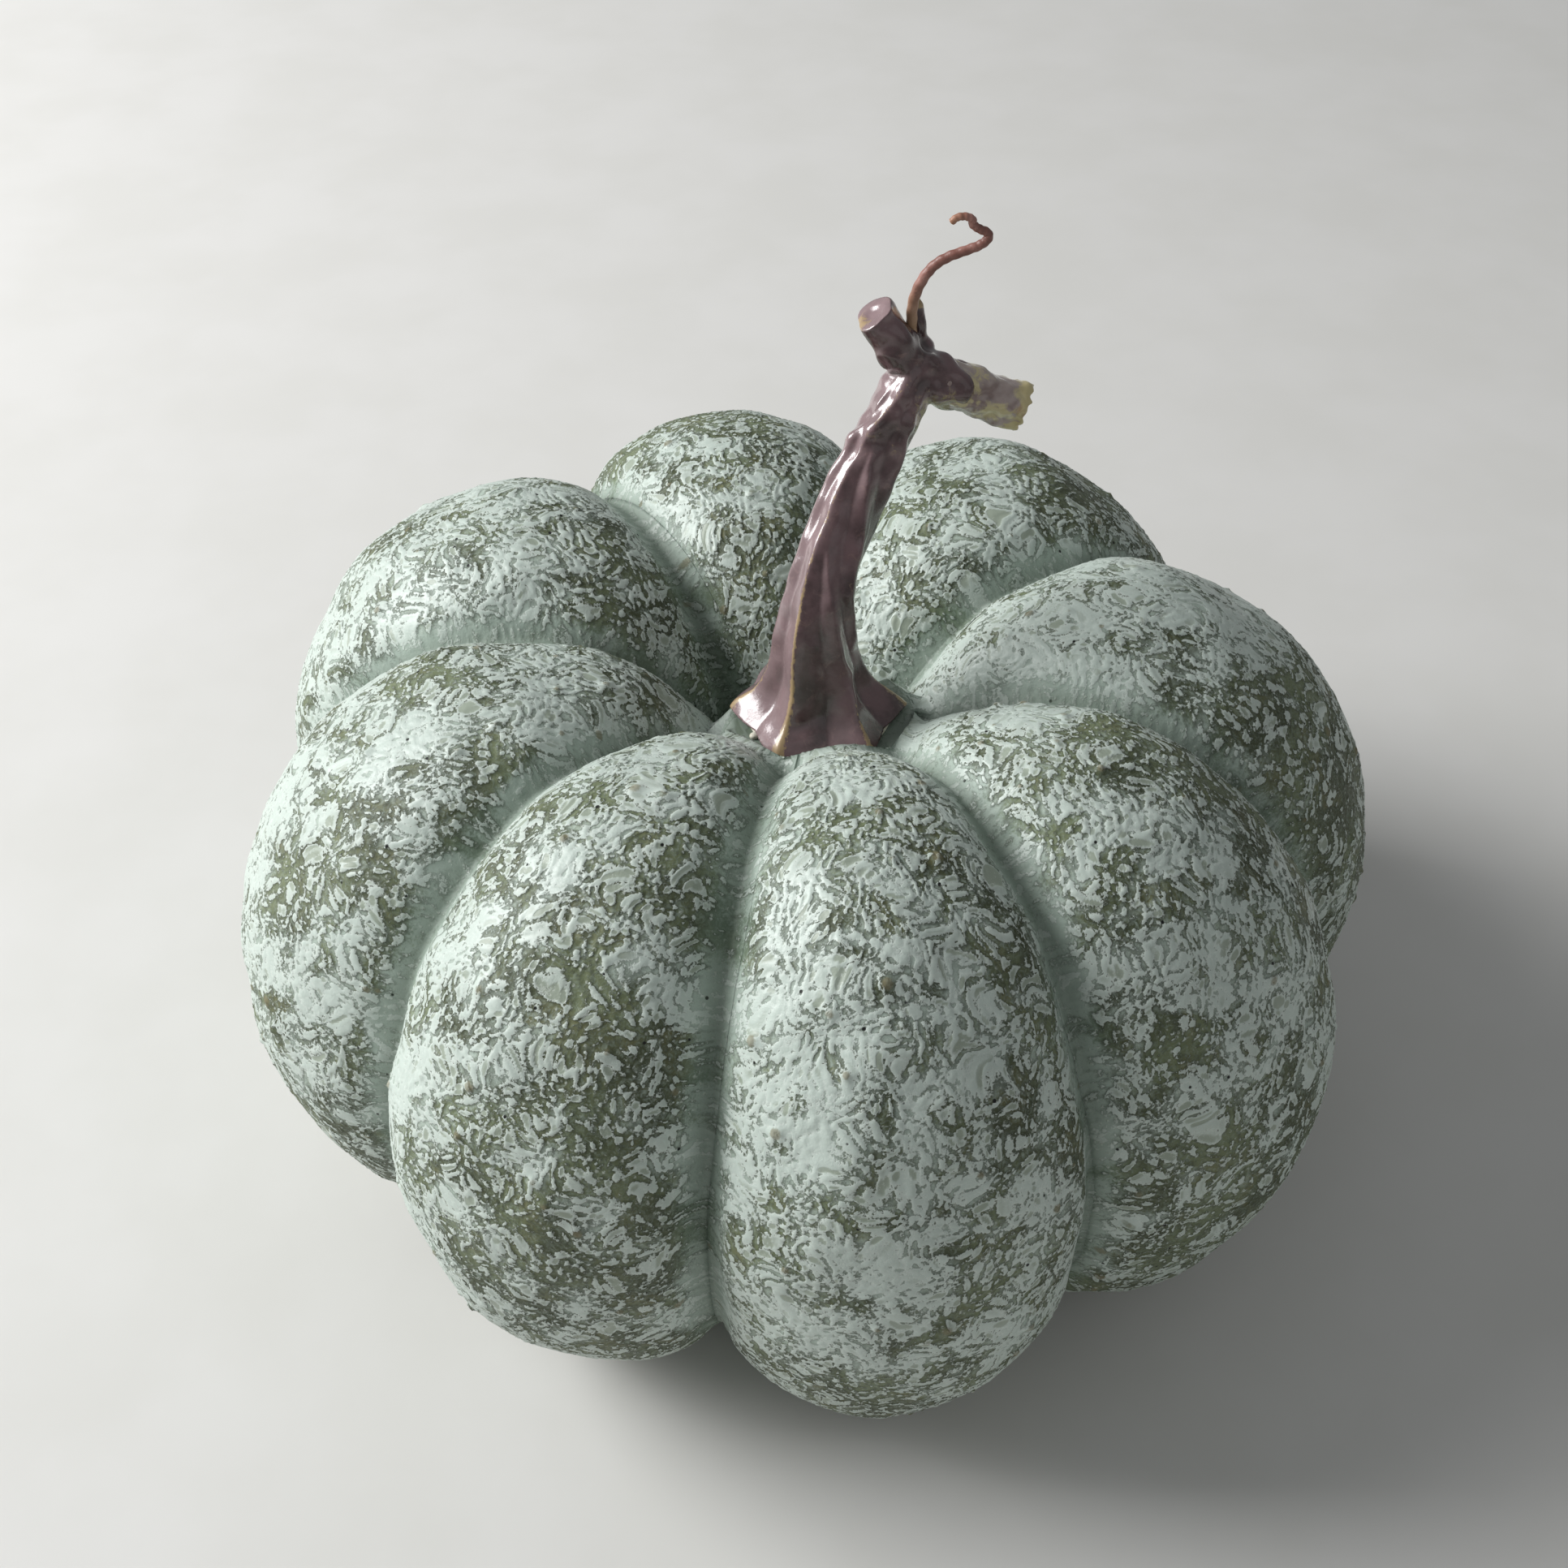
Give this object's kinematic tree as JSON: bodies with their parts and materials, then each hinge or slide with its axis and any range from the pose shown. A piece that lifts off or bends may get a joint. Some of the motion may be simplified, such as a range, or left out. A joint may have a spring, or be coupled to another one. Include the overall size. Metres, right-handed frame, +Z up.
{
  "type": "ceramic pumpkin figure",
  "caption": "Free-standing hollow glazed ceramic pumpkin with rounded lobes, a flat base and a moulded curved stalk with a side branch and a curled tendril.",
  "frame": {"origin": "middle of the flat base, on the table plane, straight under the foot of the stalk", "axes": "+Z up; -Y is the front, where the narrowest lobes are; the stalk leans to +X and +Y and the side branch points to +X"},
  "size_m": [0.1941, 0.1931, 0.1677],
  "materials": {
    "body_shell": "thick crawling pale glaze over sage green slip, satin to glossy",
    "stem": "moulded resin, glossy purple brown with gold dry-brushed ridges",
    "side_branch": "moulded resin, brown with yellow broken end",
    "stem_peg": "plain steel pin",
    "stem_adhesive": "set epoxy, cloudy off-white",
    "tendril_wire": "bare annealed wire",
    "tendril_wrap": "painted paper wrap, pinkish brown"
  },
  "bodies": {
    "root": {"body_shell": "body_shell", "stem": "stem", "side_branch": "side_branch", "stem_peg": "stem_peg", "stem_adhesive": "stem_adhesive", "tendril_wire": "tendril_wire", "tendril_wrap": "tendril_wrap"}
  },
  "joints": []
}
